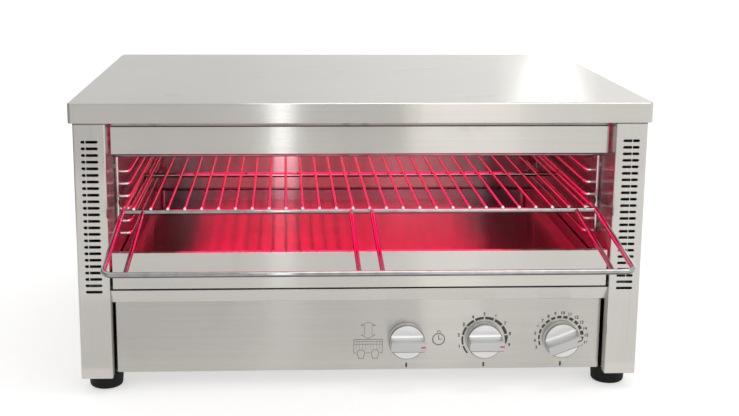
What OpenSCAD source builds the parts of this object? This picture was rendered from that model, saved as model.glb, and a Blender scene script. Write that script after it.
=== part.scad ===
// Bench-top cheese melter: stainless case, open grilling chamber with quartz elements above a
// sliding wire rack, six rack levels, a slide-out crumb tray and three rotary controls.
// Front is -Y, right is +X, up is +Z. The origin is the middle of the footprint, on the bench.
// Heights in the sections below are measured from the underside of the case, on top of the feet.

/* [Case] */
// Width of the top cover
top_w = 652; // [560:1:900]
// Depth of the top cover
top_d = 480; // [440:1:600]
// Height of the case without its feet
case_h = 320; // [316:1:360]
// Height of the cover's skirt
skirt_h = 23; // [18:0.5:26]
// Overhang of the cover past each side
side_overhang = 5; // [3:0.5:10]
// Overhang of the cover past the posts
front_overhang = 2; // [1.5:0.5:8]
// Radius of the cover's upright corners
cover_corner_r = 5; // [3:0.5:12]
// Radius of the cover's top bend
cover_bend_r = 2.4; // [1.6:0.1:2.8]
// Thickness of the outer sheets
sheet = 1.2; // [0.8:0.1:1.5]
// Thickness of the chamber sheets
liner = 1.0; // [0.7:0.1:1.4]

/* [Side posts] */
// Width of each front post
post_w = 36; // [30:1:60]
// Depth of the return on a post's inner edge
post_return = 16; // [10:1:20]
// Outside bend radius of the posts
post_bend_r = 2; // [1.6:0.1:4]
// Number of vent slots in each post
slot_count = 24; // [6:1:24]
// Length of a vent slot
slot_w = 18.8; // [10:0.2:22]
// Height of a vent slot
slot_h = 3.2; // [2:0.1:4.5]
// Spacing of the vent slots
slot_pitch = 7.5; // [6:0.1:9]
// Distance of the top vent slot from the top of the case
slot_drop = 44; // [35:1:70]
// Width of the flange down each rear edge
rear_flange = 21; // [14:1:30]

/* [Front panels] */
// Gap between the posts and the panels that hang between them
panel_gap = 2.8; // [1:0.1:5]
// Setback of the upper fascia from the posts
fascia_setback = 20; // [14:1:30]
// Distance of the fascia's lower edge from the top of the case
fascia_drop = 61.5; // [56:0.5:70]
// Height of the fascia
fascia_h = 31; // [24:0.5:32]
// Depth of the fascia's returns
fascia_return = 14; // [8:1:18]
// Gap between the fascia and the rail over it
top_gap = 2.6; // [1.5:0.1:6]
// Setback of the control panel from the posts
panel_setback = 21; // [16:1:30]
// Height of the control panel
panel_h = 88.8; // [76:0.1:96]
// Depth of the control panel's returns
panel_return = 16; // [10:1:24]
// Height of the rail between tray and control panel
mid_rail_h = 15.2; // [8:0.1:20]
// Setback of that rail's upper edge from the posts
mid_rail_setback = 3; // [1:0.5:6]
// Slope of that rail's face, from top to bottom
mid_rail_slope = 6; // [2:0.5:10]

/* [Chamber] */
// Distance from the back of the case to the chamber's back wall
back_space = 38; // [30:1:70]
// Thickness of the insulation blanket
blanket_h = 24; // [10:1:25]

/* [Elements] */
// Number of quartz elements
tube_count = 4; // [2:1:4]
// Spacing of the elements
tube_pitch = 92; // [60:1:100]
// Outside diameter of a quartz tube
tube_d = 12; // [9:0.5:14]
// Wall of a quartz tube
tube_wall = 1; // [0.8:0.1:1.5]
// Distance of the elements from the top of the case
tube_drop = 48; // [44:0.5:52]
// Diameter of a heating coil
coil_d = 7; // [4:0.1:7.2]
// Diameter of a coil's end pin
pin_d = 2.4; // [1.6:0.1:3]
// Diameter of a ceramic cap's collar
cap_collar_d = 24; // [22:0.5:26]
// Distance of the guard's outer depth wires from the chamber walls
guard_inset = 75.6; // [40:0.1:120]
// Number of the guard's depth wires
guard_count = 7; // [3:2:7]
// Distance of the guard from the top of the case
guard_drop = 68.5; // [65:0.5:70]
// Diameter of the guard's cross wires
guard_wire_d = 4; // [3:0.1:4.5]

/* [Rack levels] */
// Number of rack levels
level_count = 6; // [2:1:6]
// Spacing of the rack levels as a share of the chamber's height
level_share = 0.0964; // [0.088:0.0004:0.104]
// Distance of the top level's wire from the top of the case
level_drop = 89; // [84:0.5:92]
// Level that carries the rack, counted from the top
rack_level = 4; // [1:1:5]
// Diameter of a runner wire
runner_d = 4; // [3:0.1:5]
// Diameter of a ladder's uprights
upright_d = 4.5; // [3.5:0.1:6]
// How far a runner stands in from its uprights
runner_reach = 14; // [10:0.5:18]
// Setback of the front uprights from the posts
ladder_setback = 60; // [50:1:90]
// Gap between an upright and the chamber wall
upright_gap = 1.25; // [0.5:0.05:3]

/* [Rack] */
// Diameter of the rack's frame rod
rod_d = 6; // [5:0.1:7]
// Diameter of the rack's thin wires
wire_d = 3.2; // [2.4:0.1:4]
// Number of thin wires
wire_count = 28; // [12:2:28]
// Distance of the outer thin wires from the side rails
wire_inset = 13.15; // [8:0.05:40]
// Setback of the rack's front rod from the posts
rack_setback = 19; // [12:1:40]
// Gap between the rack and what it rides on
rack_clearance = 0.2; // [0.1:0.05:0.5]
// Gap between the rack's rear rod and the back wall
rack_rear_gap = 12; // [6:1:40]
// Reach of the handle in front of the rack
handle_reach = 170; // [90:1:180]
// Drop of the handle from rack to bar
handle_drop = 24; // [10:0.5:32]
// Bend radius of the handle's corners
handle_bend_r = 12; // [8:0.5:25]
// Diameter of the handle's inner arms
arm_d = 5; // [4:0.1:6]
// Distance of the outer pair of inner arms from the side rails
arm_inset = 23; // [12:0.5:60]
// Distance of the middle pair of arms from the middle
arm_mid_x = 12; // [10:0.5:40]
// Depth to which crossing wires are welded into each other
weld = 0.4; // [0.2:0.1:0.6]

/* [Crumb tray] */
// Height of the tray's front
tray_front_h = 42; // [34:0.5:46]
// Gap under the tray's front
tray_front_gap = 2; // [1:0.1:4]
// Depth of the hem along the tray front's upper edge
tray_hem = 8; // [5:0.5:12]
// Height of the tray's pan
tray_pan_h = 14.2; // [8:0.2:20]
// Width of the lip along each side of the pan
tray_lip = 14; // [6:1:20]
// Gap between the pan's lips and the chamber walls
tray_side_gap = 2; // [1:0.5:10]
// Gap between the pan and the chamber's back wall
tray_back_gap = 9; // [4:1:20]
// Height of the runners under the pan
tray_runner_h = 5.5; // [4:0.1:8]
// Gap between the pan and its runners
tray_clearance = 0.3; // [0.2:0.05:0.6]

/* [Controls] */
// Height of the knobs
knob_z = 36.6; // [30:0.1:52]
// Spacing of the knobs
knob_pitch = 91.2; // [70:0.1:96]
// Distance of the middle knob from the side of the case
heat_inset = 175.7; // [150:0.1:200]
// Diameter of a knob's base
knob_d = 42; // [36:0.5:50]
// Height of a knob's base
knob_base_h = 11; // [9:0.5:14]
// Height of a knob with its grip
knob_h = 29; // [22:0.5:32]
// Width of a knob's grip
grip_w = 12.5; // [8:0.1:16]
// Radius at the root of a knob's grip
grip_root_r = 3; // [1:0.5:4]
// Gap between knob and panel
knob_gap = 0.8; // [0.5:0.1:2]
// Diameter of the control shafts
shaft_d = 6; // [5:0.1:8]
// Running clearance round a shaft, on the radius
shaft_clearance = 0.05; // [0.02:0.01:0.09]
// Diameter of the threaded bushes
bush_d = 10; // [9.6:0.1:12]

/* [Feet and fixings] */
// Height of a foot
foot_h = 19; // [12:0.5:40]
// Diameter of a foot
foot_d = 40.5; // [28:0.5:42]
// Distance of the feet from the sides of the case
foot_inset_x = 24; // [22:0.5:40]
// Distance of the feet from the front and back of the posts
foot_inset_y = 33; // [24:0.5:60]
// Diameter of the foot screws
foot_screw_d = 5; // [4:0.1:6]
// Diameter of the casing screws
screw_d = 4; // [3:0.1:5]
// Diameter of the cord's way through the gland
gland_bore_d = 9; // [6:0.1:12]

/* [Hidden] */
$fn = 48;
eps = 0.01;

// Case planes
case_w = top_w - 2 * side_overhang;
case_x = case_w / 2;
post_y = -top_d / 2 + front_overhang;
rear_y = -post_y;
inner_x = case_x - post_w;
cover_under = case_h - sheet;
skirt_z = case_h - skirt_h;
skirt_in_y = top_d / 2 - sheet;
cover_inner_bend = cover_bend_r - sheet;
slot_top = case_h - slot_drop;
back_half_w = case_x - 3;
back_panel_top = skirt_z - 1;
louvre_w = 120;
louvre_h = 4.5;
louvre_pitch = 10;
louvre_x = back_half_w / 2 - 9;
base_lip = 15;
back_screw_x = case_x - rear_flange / 2;
back_screw_zs = [base_lip + 8, back_panel_top / 2, back_panel_top - 10];
foot_x = case_x - foot_inset_x;
foot_ys = [post_y + foot_inset_y, rear_y - foot_inset_y];
cover_screw_xs = [-case_x * 0.6, 0, case_x * 0.6];
cover_screw_z = skirt_h / 2;
cover_flange = 15.2;
vent_pitch_x = 70;
vent_pitch_y = 90;
vent_y = -120;
vent_w = 46;
vent_h = 5;

// Front planes
fascia_y = post_y + fascia_setback;
fascia_z = case_h - fascia_drop;
fascia_top = fascia_z + fascia_h;
panel_y = post_y + panel_setback;
panel_half_w = inner_x - panel_gap;
mid_rail_y = post_y + mid_rail_setback;
mid_rail_top = panel_h + mid_rail_h;
top_rail_z = fascia_top + top_gap;
rail_slope = 11;
rail_foot = 13;
rail_head = 18;
rail_lap = 22;

// Chamber planes
deck_top = mid_rail_top + liner;
wall_y0 = post_y + post_return;
back_y = rear_y - back_space;
roof_under = fascia_top;
roof_top = roof_under + liner;
roof_y0 = fascia_y + fascia_return - 1;
baffle_x = case_x - 9.8;
baffle_y0 = post_y + 26;
baffle_foot = 16;

// Elements
tube_z = case_h - tube_drop;
tube_y0 = (wall_y0 + back_y) / 2 - (tube_count - 1) * tube_pitch / 2 + 4;
tube_half = inner_x - 2;
tube_fit = 0.1;
cap_d = tube_d + 6;
cap_in = 7;
cap_out = 6;
collar_h = 3;
guard_y0 = post_y + 50;
guard_y1 = tube_y0 + (tube_count - 1) * tube_pitch;
guard_depth_d = 3;
guard_z = case_h - guard_drop;
guard_pitch = 2 * (inner_x - guard_inset) / (guard_count - 1);
strip_h = 20;
strip_end = 18;

// Ladders
upright_x = inner_x - upright_gap - upright_d / 2;
runner_x = upright_x - runner_reach;
ladder_y0 = post_y + ladder_setback;
ladder_y1 = back_y - 30;
hook_r = 5;
clip_h = 5;
clip_w = 3;
level_top = case_h - level_drop;
level_pitch = level_share * (fascia_z - deck_top);
ladder_top = guard_z - guard_wire_d / 2 - 1.5;
level_low = level_top - (level_count - 1) * level_pitch;

// Rack
rail_x = runner_x + runner_d / 2 - 1.5 + rod_d / 2;
rack_z = level_top - (rack_level - 1) * level_pitch + runner_d / 2 + rack_clearance + rod_d / 2;
wire_pitch = 2 * (rail_x - wire_inset) / (wire_count - 1);
arm_x = rail_x - arm_inset;
rack_y0 = post_y + rack_setback;
rack_y1 = back_y - rack_rear_gap - rod_d / 2;
handle_tilt = atan(handle_drop / handle_reach);
handle_len = handle_reach / cos(handle_tilt);

// Tray
tray_y = mid_rail_y;
tray_front_z = mid_rail_top + tray_front_gap;
tray_front_top = tray_front_z + tray_front_h;
tray_hem_h = 10;
tray_foot = 10;
tray_half_w = inner_x - panel_gap;
pan_z = deck_top + tray_runner_h + tray_clearance;
pan_half_w = inner_x - tray_side_gap;
trough_half_w = pan_half_w - tray_lip;
pan_y0 = tray_y + sheet;
pan_y1 = back_y - tray_back_gap;

// Controls
heat_x = case_x - heat_inset;
knob_xs = [heat_x - knob_pitch, heat_x, heat_x + knob_pitch];
nut_h = 3;
nut_across = 14;
switch_size = [44, 44, 46];
regulator_size = [48, 36, 38];
timer_size = [58, 52, 34];
bush_len = 6;
body_y = panel_y + sheet;
panel_screw_xs = [-panel_half_w + 12, 0, panel_half_w - 12];
panel_screw_y = body_y + panel_return / 2;

// Rear fittings
gland_x = case_x - 71;
gland_z = 40;
gland_d = 22;
gland_out = 14;
gland_thread_d = 16;
block_x = gland_x - 42;
block_y = rear_y - 58;
back_panel_y = rear_y;

// Wiring
loom_d = 7;
loom_x = (inner_x + case_x) / 2 + 2;
loom_y = -130;
loom_z = 16;
loom_lead_y = [body_y + 46, body_y + 38, body_y + 34];

// Heads of the pan-head screws
head_d = screw_d + 3.5;
head_h = 2.2;
screw_len = 9;
foot_head_d = foot_screw_d + 5.5;
foot_head_h = 3.5;
recess_w = 0.9;

// Reach of the whole object, which centres it on the origin
front_reach = -rack_y0 + handle_reach + rod_d / 2;
rear_reach = back_panel_y + sheet + gland_out;
y_shift = (front_reach - rear_reach) / 2;

steel = [0.80, 0.80, 0.78];
polished = [0.72, 0.68, 0.68];
chrome = [0.86, 0.86, 0.86];

// Puts a piece of the case on the feet and centres it on the origin
module placed() { translate([0, y_shift, foot_h]) children(); }

module mirrored(side) { if (side < 0) mirror([1, 0, 0]) children(); else children(); }

module both_sides() { children(); mirror([1, 0, 0]) children(); }

module both_ends() { children(); mirror([0, 1, 0]) children(); }

// Box between two opposite corners
module block(a, b) { translate(a) cube(b - a); }

// Rod between two points that differ along one axis
module rod_x(x0, x1, y, z, d) { translate([x0, y, z]) rotate([0, 90, 0]) cylinder(h = x1 - x0, d = d); }
module rod_y(x, y0, y1, z, d) { translate([x, y0, z]) rotate([-90, 0, 0]) cylinder(h = y1 - y0, d = d); }
module rod_z(x, y, z0, z1, d) { translate([x, y, z0]) cylinder(h = z1 - z0, d = d); }

// Quarter bend of a rod in the XY plane, from +X towards +Y about its centre
module elbow(bend_r, d) { rotate_extrude(angle = 90) translate([bend_r, 0]) circle(d = d); }

// Rectangle with round corners, about its middle
module round_rect(w, d, r) {
    square([w - 2 * r, d], center = true);
    square([w, d - 2 * r], center = true);
    for (sx = [-1, 1], sy = [-1, 1]) translate([sx * (w / 2 - r), sy * (d / 2 - r)]) circle(r = r);
}

// Slot with round ends, about its middle
module slot_2d(w, h) {
    square([w - h, h], center = true);
    for (s = [-1, 1]) translate([s * (w - h) / 2, 0]) circle(d = h);
}

// Quarter of a bent sheet's corner, in the quadrant where x and y are negative
module bend_2d(r, t) {
    intersection() {
        difference() { circle(r = r); circle(r = r - t); }
        translate([-r, -r]) square(r);
    }
}

// Sheet profile given in the YZ plane, run along X between the two given half widths
module run_x(half_w) { translate([-half_w, 0, 0]) rotate([90, 0, 90]) linear_extrude(2 * half_w) children(); }

// Pan-head screw along +Z with its head's seat at the origin and a cross recess in its head
module pan_screw(d, length, head_d, head_h) {
    arm = head_d * 0.28;
    difference() {
        translate([0, 0, -head_h]) cylinder(h = head_h, d1 = head_d * 0.82, d2 = head_d);
        translate([-arm, -recess_w / 2, -head_h - 1]) cube([2 * arm, recess_w, 1 + head_h / 2]);
        translate([-recess_w / 2, -arm, -head_h - 1]) cube([recess_w, 2 * arm, 1 + head_h / 2]);
    }
    translate([0, 0, -eps]) cylinder(h = length, d = d);
}

module hex_nut(across, h, bore) {
    difference() {
        cylinder(h = h, d = across / cos(30), $fn = 6);
        translate([0, 0, -1]) cylinder(h = h + 2, d = bore);
    }
}

// ---- Outer case ----

// Section of the cover from the middle of its corner outwards: top, bend and skirt
module cover_edge_2d() {
    translate([0, skirt_h - sheet]) square([cover_corner_r - cover_bend_r, sheet]);
    translate([cover_corner_r - cover_bend_r, skirt_h - cover_bend_r])
        rotate(180) bend_2d(cover_bend_r, sheet);
    translate([cover_corner_r - sheet, 0]) square([sheet, skirt_h - cover_bend_r]);
}

module top_cover() {
    half_w = top_w / 2 - cover_corner_r;
    half_d = top_d / 2 - cover_corner_r;
    color(steel) placed() translate([0, 0, skirt_z]) difference() {
        union() {
            block([-half_w, -half_d, skirt_h - sheet], [half_w, half_d, skirt_h]);
            both_sides() translate([half_w, half_d, 0]) rotate([90, 0, 0])
                linear_extrude(2 * half_d) cover_edge_2d();
            both_ends() translate([0, half_d, 0]) run_x(half_w) cover_edge_2d();
            both_sides() both_ends() translate([half_w, half_d, 0])
                rotate_extrude(angle = 90) cover_edge_2d();
        }
        for (x = cover_screw_xs) rod_y(x, skirt_in_y - 1, top_d / 2 + 1, cover_screw_z, screw_d + 0.4);
    }
}

// Post face, its inner return, the side skin and the rear flange, as one bent sheet
module side_profile() {
    r = post_bend_r;
    translate([inner_x + r, post_y]) square([post_w - 2 * r, sheet]);
    translate([inner_x + r, post_y + r]) bend_2d(r, sheet);
    translate([inner_x, post_y + r]) square([sheet, post_return - r]);
    translate([case_x - r, post_y + r]) mirror([1, 0]) bend_2d(r, sheet);
    translate([case_x - sheet, post_y + r]) square([sheet, rear_y - post_y - 2 * r]);
    translate([case_x - r, rear_y - r]) rotate(180) bend_2d(r, sheet);
    translate([case_x - rear_flange, rear_y - sheet]) square([rear_flange - r, sheet]);
}

module side_panel(side) {
    color(steel) placed() mirrored(side) difference() {
        union() {
            linear_extrude(cover_under) side_profile();
            block([case_x - cover_flange, post_y + 3 * sheet, cover_under - sheet],
                [case_x - sheet / 2, rear_y - 2 * sheet, cover_under]);
        }
        for (i = [0 : slot_count - 1])
            translate([inner_x + post_w / 2, post_y + sheet + 1, slot_top - i * slot_pitch])
                rotate([90, 0, 0]) linear_extrude(sheet + 2) slot_2d(slot_w, slot_h);
        for (z = back_screw_zs) rod_y(back_screw_x, rear_y - sheet - 1, rear_y + 1, z, screw_d + 0.2);
        for (y = [post_y - 1, rear_y - cover_inner_bend])
            block([0, y, cover_under - cover_inner_bend],
                [case_x + 1, y + cover_inner_bend + 1, cover_under + 1]);
    }
}

module base_pan() {
    in_x = case_x - sheet;
    corner_x = case_x - post_bend_r;
    corner_y = rear_y - post_bend_r;
    color(steel) placed() difference() {
        union() {
            block([-in_x, body_y, 0], [in_x, corner_y, sheet]);
            block([-corner_x, body_y, 0], [corner_x, rear_y - sheet, sheet]);
            both_sides() block([inner_x + post_bend_r, post_y + sheet, 0], [corner_x, body_y + eps, sheet]);
            both_sides() block([in_x - sheet, body_y, 0], [in_x, corner_y, base_lip]);
            block([-corner_x, rear_y - 2 * sheet, 0], [corner_x, rear_y - sheet, base_lip]);
        }
        for (x = [-foot_x, foot_x], y = foot_ys) rod_z(x, y, -1, sheet + 1, foot_screw_d + 0.3);
        for (row = [0 : 2], i = [-3 : 3])
            translate([i * vent_pitch_x, vent_y + row * vent_pitch_y, -1])
                linear_extrude(sheet + 2) slot_2d(vent_w, vent_h);
        for (x = panel_screw_xs) rod_z(x, panel_screw_y, -1, sheet + 1, screw_d + 0.2);
    }
}

// One row of cooling slots through the back panel
module louvre(x, z) {
    translate([x, back_panel_y + sheet + 1, z]) rotate([90, 0, 0])
        linear_extrude(sheet + 2) slot_2d(louvre_w, louvre_h);
}

module back_panel() {
    color(steel) placed() difference() {
        block([-back_half_w, back_panel_y, 3], [back_half_w, back_panel_y + sheet, back_panel_top]);
        for (i = [0 : 7]) both_sides() louvre(louvre_x, back_panel_top - 21 - i * louvre_pitch);
        for (i = [0 : 3]) louvre(-louvre_x, 25 + i * louvre_pitch);
        rod_y(gland_x, back_panel_y - 1, back_panel_y + sheet + 1, gland_z, gland_thread_d + 0.4);
        for (x = [-back_screw_x, back_screw_x], z = back_screw_zs)
            rod_y(x, back_panel_y - 1, back_panel_y + sheet + 1, z, screw_d + 0.4);
    }
}

// Folded rail behind the cover's front skirt, with a sloping lower lip
module front_top_rail() {
    y0 = post_y + 1;
    slope = rail_slope;
    foot = y0 + slope + rail_foot;
    head = y0 + rail_head;
    color(steel) placed() run_x(inner_x)
        polygon([[y0, skirt_z], [y0 + slope, top_rail_z], [foot, top_rail_z], [foot, top_rail_z + sheet],
            [y0 + slope + sheet, top_rail_z + sheet], [y0 + sheet, skirt_z + sheet],
            [y0 + sheet, cover_under - sheet], [head, cover_under - sheet], [head, cover_under],
            [y0, cover_under]]);
}

module rear_top_rail() {
    half_w = case_x - rear_flange;
    low = back_panel_top - rail_lap;
    bend = cover_inner_bend;
    color(steel) placed() difference() {
        run_x(half_w) polygon([[rear_y, low], [rear_y, cover_under - bend], [rear_y - bend, cover_under],
            [rear_y - rail_head, cover_under], [rear_y - rail_head, cover_under - sheet],
            [rear_y - sheet - bend / 2, cover_under - sheet],
            [rear_y - sheet, cover_under - sheet - bend / 2], [rear_y - sheet, low]]);
        for (x = cover_screw_xs)
            rod_y(x, rear_y - sheet - 1, rear_y + 1, skirt_z + cover_screw_z, screw_d + 0.2);
    }
}

module upper_fascia() {
    color(steel) placed() run_x(panel_half_w) union() {
        translate([fascia_y, fascia_z]) square([sheet, fascia_h]);
        translate([fascia_y, fascia_z]) square([fascia_return - 2, sheet]);
        translate([fascia_y, fascia_top - sheet]) square([fascia_return + 6, sheet]);
    }
}

// Sloping rail, folded back over the panel below it and under the chamber's deck above it
module front_mid_rail() {
    lean = mid_rail_slope / mid_rail_h;
    through = sheet * sqrt(1 + lean * lean);
    foot_y = mid_rail_y + mid_rail_slope;
    top_end = wall_y0 + 12;
    foot_end = panel_y + panel_return - 4;
    color(steel) placed() run_x(inner_x)
        polygon([[mid_rail_y, mid_rail_top], [top_end, mid_rail_top], [top_end, mid_rail_top - sheet],
            [mid_rail_y + lean * sheet + through, mid_rail_top - sheet],
            [foot_y - lean * sheet + through, panel_h + sheet],
            [foot_end, panel_h + sheet], [foot_end, panel_h], [foot_y, panel_h]]);
}

module control_panel() {
    color(steel) placed() difference() {
        run_x(panel_half_w) union() {
            translate([panel_y, 0]) square([sheet, panel_h]);
            translate([panel_y, panel_h - sheet]) square([panel_return, sheet]);
            translate([panel_y, sheet]) square([panel_return, sheet]);
        }
        for (x = knob_xs) rod_y(x, panel_y - 1, body_y + 1, knob_z, bush_d + 0.2);
        for (x = panel_screw_xs) rod_z(x, panel_screw_y, sheet - 1, 2 * sheet + 1, screw_d + 0.2);
    }
}

// ---- Grilling chamber ----

module chamber_deck() {
    in_x = case_x - sheet;
    corner_x = case_x - post_bend_r;
    color(steel) placed() difference() {
        union() {
            block([-in_x, wall_y0, mid_rail_top], [in_x, rear_y - post_bend_r, deck_top]);
            block([-corner_x, wall_y0, mid_rail_top], [corner_x, rear_y - sheet, deck_top]);
        }
        both_sides() rod_z(loom_x, loom_y, mid_rail_top - 1, deck_top + 1, loom_d + 8);
    }
}

module chamber_wall(side) {
    color(polished) placed() mirrored(side) difference() {
        block([inner_x, wall_y0, deck_top], [inner_x + liner, back_y + liner, roof_top]);
        for (i = [0 : tube_count - 1])
            rod_x(inner_x - 1, inner_x + liner + 1, tube_y0 + i * tube_pitch, tube_z, cap_d + 0.4);
    }
}

module chamber_back() {
    color(polished) placed() block([-inner_x, back_y, deck_top], [inner_x, back_y + liner, roof_top]);
}

module chamber_roof() {
    color(polished) placed() block([-inner_x, roof_y0, roof_under], [inner_x, back_y, roof_top]);
}

module insulation_blanket() {
    color("ivory") placed()
        block([-inner_x + 1, wall_y0 + 26, roof_top], [inner_x - 1, back_y, roof_top + blanket_h]);
}

// Heat shields that stand on the deck between the hot sides of the chamber and the outer skins
module side_baffles() {
    color(steel) placed() both_sides() difference() {
        union() {
            block([baffle_x, baffle_y0, deck_top], [baffle_x + liner, back_y, roof_top + blanket_h - 4]);
            block([baffle_x - baffle_foot, baffle_y0, deck_top],
                [baffle_x + liner, back_y, deck_top + liner]);
        }
        rod_z(loom_x, loom_y, deck_top - 1, deck_top + liner + 1, loom_d + 4);
    }
}

// ---- Elements ----

module at_tubes() {
    for (i = [0 : tube_count - 1]) translate([0, tube_y0 + i * tube_pitch, tube_z]) children();
}

module quartz_tubes() {
    color([0.95, 0.75, 0.78]) placed() at_tubes() difference() {
        rod_x(-tube_half, tube_half, 0, 0, tube_d);
        rod_x(-tube_half - 1, tube_half + 1, 0, 0, tube_d - 2 * tube_wall);
    }
}

module heating_coils() {
    coil_half = tube_half - 16;
    pin_half = inner_x + 18;
    color([1, 0.35, 0.25]) placed() at_tubes() union() {
        rod_x(-coil_half, coil_half, 0, 0, coil_d);
        rod_x(-pin_half, pin_half, 0, 0, pin_d);
    }
}

// Stepped ceramic cap on a tube's end, seated against the outside of the chamber wall
module ceramic_caps(side) {
    outer = inner_x + liner;
    color("ivory") placed() mirrored(side) at_tubes() difference() {
        union() {
            rod_x(inner_x - cap_in, outer + cap_out, 0, 0, cap_d);
            rod_x(outer, outer + collar_h, 0, 0, cap_collar_d);
        }
        rod_x(inner_x - cap_in - 1, tube_half, 0, 0, tube_d + 2 * tube_fit);
        rod_x(tube_half - 1, outer + cap_out + 1, 0, 0, pin_d + 2 * tube_fit);
    }
}

// Strips that clamp the caps' collars to the walls
module cap_retainers() {
    x0 = inner_x + liner + collar_h;
    color(steel) placed() both_sides() difference() {
        block([x0, tube_y0 - strip_end, tube_z - strip_h / 2],
            [x0 + liner, tube_y0 + (tube_count - 1) * tube_pitch + strip_end, tube_z + strip_h / 2]);
        at_tubes() rod_x(x0 - 1, x0 + liner + 1, 0, 0, cap_d + 0.4);
    }
}

module element_guard() {
    rise = guard_wire_d / 2 + guard_depth_d / 2 - weld;
    color(chrome) placed() union() {
        for (y = [guard_y0, (guard_y0 + guard_y1) / 2, guard_y1])
            rod_x(-inner_x, inner_x, y, guard_z, guard_wire_d);
        for (i = [0 : guard_count - 1])
            rod_y((i - (guard_count - 1) / 2) * guard_pitch, guard_y0 - 3, guard_y1 + 3,
                guard_z + rise, guard_depth_d);
    }
}

// ---- Rack levels ----

// One runner wire with a hook at each end that bends out to the uprights
module runner() {
    end_x = upright_x - upright_d / 2 + weld;
    rod_x(runner_x + hook_r, end_x, ladder_y0, 0, runner_d);
    translate([runner_x + hook_r, ladder_y0 + hook_r, 0]) rotate(180) elbow(hook_r, runner_d);
    rod_y(runner_x, ladder_y0 + hook_r, ladder_y1 - hook_r, 0, runner_d);
    translate([runner_x + hook_r, ladder_y1 - hook_r, 0]) rotate(90) elbow(hook_r, runner_d);
    rod_x(runner_x + hook_r, end_x, ladder_y1, 0, runner_d);
}

module ladder_uprights(side) {
    color(chrome) placed() mirrored(side)
        for (y = [ladder_y0, ladder_y1])
            rod_z(upright_x, y, level_low - runner_d / 2 - 1, ladder_top, upright_d);
}

module ladder_runners(side) {
    color(chrome) placed() mirrored(side)
        for (i = [0 : level_count - 1]) translate([0, 0, level_top - i * level_pitch]) runner();
}

// Saddles on the chamber walls, behind the ladders' uprights, that hold them off the wall
module ladder_clips() {
    color(steel) placed() both_sides()
        for (y = [ladder_y0, ladder_y1], z = [level_top + runner_d / 2 + 2, level_low + runner_d / 2 + 2])
            difference() {
                block([upright_x, y - clip_w / 2, z], [inner_x, y + clip_w / 2, z + clip_h]);
                rod_z(upright_x, y, z - 1, z + clip_h + 1, upright_d + 0.1);
            }
}

// ---- Wire rack with its handle ----

// Frame tilted with the handle's arms about the rack's front rod
module along_handle() { translate([0, rack_y0, rack_z]) rotate([handle_tilt, 0, 0]) children(); }

// Both side rails and the handle loop, bent from one rod; a ball a hair thicker than the rod turns
// each rail into its arm, and the rods stop short of the ball's middle by the same small length
module rack_frame() {
    arm = handle_len - handle_bend_r;
    stop = rod_d / 20;
    color(chrome) placed() union() {
        both_sides() rod_y(rail_x, rack_y0 + stop, rack_y1 + rod_d / 2, rack_z, rod_d);
        both_sides() translate([rail_x, rack_y0, rack_z]) sphere(d = rod_d + 0.1);
        along_handle() {
            both_sides() rod_y(rail_x, -arm, -stop, 0, rod_d);
            both_sides() translate([rail_x - handle_bend_r, -arm, 0]) rotate(-90) elbow(handle_bend_r, rod_d);
            rod_x(-rail_x + handle_bend_r, rail_x - handle_bend_r, -handle_len, 0, rod_d);
        }
    }
}

module rack_cross_rods() {
    half = rail_x - rod_d / 2 + weld;
    color(chrome) placed()
        for (y = [rack_y0, (rack_y0 + rack_y1) / 2, rack_y1]) rod_x(-half, half, y, rack_z, rod_d);
}

module rack_wires() {
    rise = rod_d / 2 + wire_d / 2 - weld;
    color(chrome) placed()
        for (i = [0 : wire_count - 1])
            rod_y((i - (wire_count - 1) / 2) * wire_pitch, rack_y0 - rod_d / 2, rack_y1 + rod_d / 2,
                rack_z + rise, wire_d);
}

module handle_arms() {
    start = -rod_d / 2 + weld;
    reach = handle_len - rod_d / 2 + weld;
    color(chrome) placed() along_handle()
        for (x = [-arm_x, -arm_mid_x, arm_mid_x, arm_x]) rod_y(x, -reach, start, 0, arm_d);
}

// ---- Crumb tray ----

module tray_front() {
    color(steel) placed() run_x(tray_half_w) union() {
        translate([tray_y, tray_front_z]) square([sheet, tray_front_h]);
        translate([tray_y, tray_front_top - sheet]) square([tray_hem, sheet]);
        translate([tray_y + tray_hem - sheet, tray_front_top - tray_hem_h]) square([sheet, tray_hem_h]);
        translate([tray_y, tray_front_z]) square([tray_foot, sheet]);
    }
}

// Trough with round corners and a flat lip along each side
module tray_pan() {
    depth = pan_y1 - pan_y0;
    color(polished) placed() translate([0, (pan_y0 + pan_y1) / 2, pan_z]) difference() {
        union() {
            linear_extrude(tray_pan_h) round_rect(2 * trough_half_w, depth, 6);
            translate([0, 0, tray_pan_h - liner]) linear_extrude(liner) round_rect(2 * pan_half_w, depth, 3);
        }
        translate([0, 0, liner]) linear_extrude(tray_pan_h)
            round_rect(2 * (trough_half_w - liner), depth - 2 * liner, 5);
    }
}

module tray_runner(side) {
    w = 18;
    color(steel) placed() mirrored(side) translate([trough_half_w - 2 - w, wall_y0 + 6, deck_top])
        difference() {
            cube([w, pan_y1 - wall_y0 - 12, tray_runner_h]);
            translate([liner, -1, -1]) cube([w - 2 * liner, pan_y1 - wall_y0, tray_runner_h - liner + 1]);
        }
}

// ---- Controls ----

// Places a control on its axis: local +Z points out of the panel's face, local +X to the right
module at_control(i) { placed() translate([knob_xs[i], panel_y, knob_z]) rotate([90, 0, 0]) children(); }

// Half section of a knob's grip bar: its root flares into the base in a hollow round
module grip_half_2d() {
    edge = 1.5;
    difference() {
        polygon([[0, knob_base_h - 1], [grip_w / 2 + grip_root_r, knob_base_h - 1],
            [grip_w / 2 + grip_root_r, knob_base_h + grip_root_r], [grip_w / 2, knob_base_h + grip_root_r],
            [grip_w / 2, knob_h - edge], [grip_w / 2 - edge, knob_h], [0, knob_h]]);
        translate([grip_w / 2 + grip_root_r, knob_base_h + grip_root_r]) circle(r = grip_root_r);
    }
}

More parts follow.
